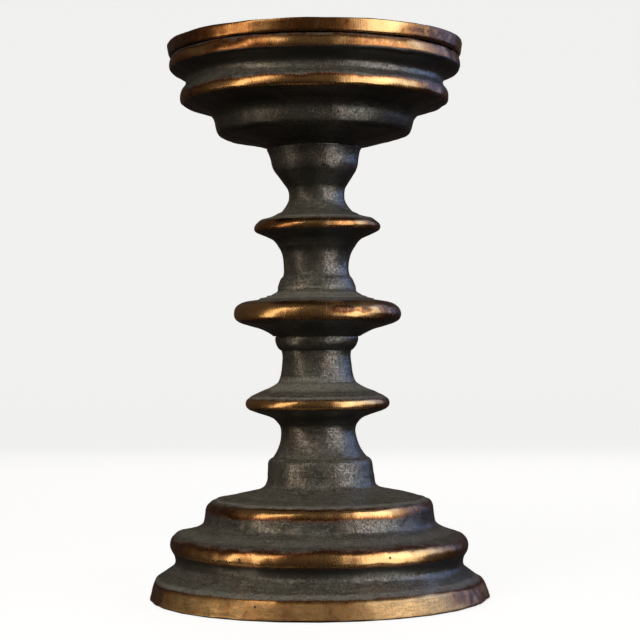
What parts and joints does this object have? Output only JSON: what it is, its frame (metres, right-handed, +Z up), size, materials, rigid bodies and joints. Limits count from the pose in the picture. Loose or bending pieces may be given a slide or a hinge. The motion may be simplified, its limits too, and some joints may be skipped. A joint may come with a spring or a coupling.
{
  "type": "altar candlestick",
  "caption": "Turned bronze altar candlestick: moulded round foot, ringed baluster stem on a tie rod, wide cup with a lift-out drip pan and a pricket.",
  "frame": {"origin": "on the stem's axis at the surface that the candlestick stands on", "axes": "+Z up along the stem; the shape is round, so +X and +Y are any two level directions"},
  "size_m": [0.1538, 0.1538, 0.25],
  "materials": {
    "dark_bronze": "near-black brown patina with a dry satin sheen, rubbed through to gold bronze on the raised mouldings",
    "rubbed_bronze": "dark patina mostly rubbed away to warm gold bronze, brushed round the rim",
    "steel": "dull zinc plate",
    "brass": "turned brass, lightly tarnished",
    "felt": "dark green wool felt"
  },
  "bodies": {
    "candlestick": {"base_casting": "dark_bronze", "felt_ring": "felt", "drum": "dark_bronze", "lower_neck": "dark_bronze", "lower_ring": "dark_bronze", "lower_spool": "dark_bronze", "lower_bead": "dark_bronze", "middle_ring": "dark_bronze", "upper_bead": "dark_bronze", "upper_spool": "dark_bronze", "upper_ring": "dark_bronze", "neck_vase": "dark_bronze", "cup": "dark_bronze", "tie_rod": "steel", "bottom_washer": "steel", "lock_washer": "steel", "bottom_nut": "steel", "top_washer": "steel", "pricket": "brass"},
    "drip_pan": {"drip_pan": "rubbed_bronze"}
  },
  "joints": [
    {"name": "pan_lift", "type": "slide", "parent": "candlestick", "child": "drip_pan", "axis": [0, 0, 1], "range_m": [0, 0.03]}
  ]
}
